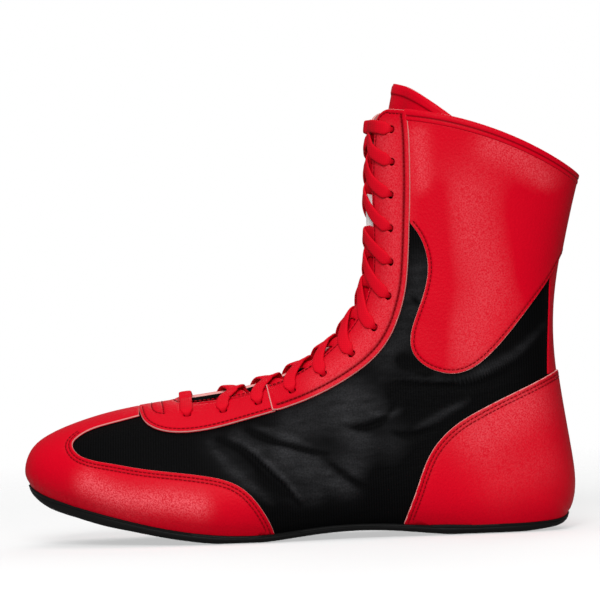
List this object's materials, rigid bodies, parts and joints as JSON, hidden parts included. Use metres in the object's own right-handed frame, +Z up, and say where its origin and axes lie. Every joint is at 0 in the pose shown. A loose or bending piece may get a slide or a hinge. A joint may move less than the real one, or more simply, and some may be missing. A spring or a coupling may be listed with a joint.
{
  "type": "boxing shoe",
  "caption": "High laced boxing shoe for the left foot: black fabric upper, red leather overlays, padded tongue and a thin flexible rubber outsole.",
  "frame": {"origin": "on the floor, under the middle of the shoe's overall box", "axes": "+Z up, the toe points to -X, the outer side of the foot faces -Y"},
  "size_m": [0.2935, 0.1, 0.2313],
  "materials": {
    "outsole_rubber": "matte black",
    "insole_fabric": "matte black",
    "upper_fabric": "ribbed black weave",
    "red_leather": "fine grain, soft sheen",
    "red_lace": "flat woven lace",
    "white_label": "plain woven patch"
  },
  "bodies": {
    "root": {"outsole": "outsole_rubber", "insole": "insole_fabric", "upper": "upper_fabric", "tongue": "red_leather", "toe_cap": "red_leather", "eyestay_front": "red_leather", "eyestay_lateral": "red_leather", "eyestay_medial": "red_leather", "ankle_panel": "red_leather", "back_strip": "red_leather", "heel_counter": "red_leather", "collar_binding": "red_leather", "tongue_label": "white_label", "lace_bar_bottom": "red_lace", "lace_cross_02": "red_lace", "lace_cross_03": "red_lace", "lace_cross_04": "red_lace", "lace_cross_05": "red_lace", "lace_cross_06": "red_lace", "lace_cross_07": "red_lace", "lace_cross_08": "red_lace", "lace_cross_09": "red_lace", "lace_cross_10": "red_lace", "lace_cross_11": "red_lace", "lace_cross_12": "red_lace", "lace_bar_top": "red_lace"}
  },
  "joints": []
}
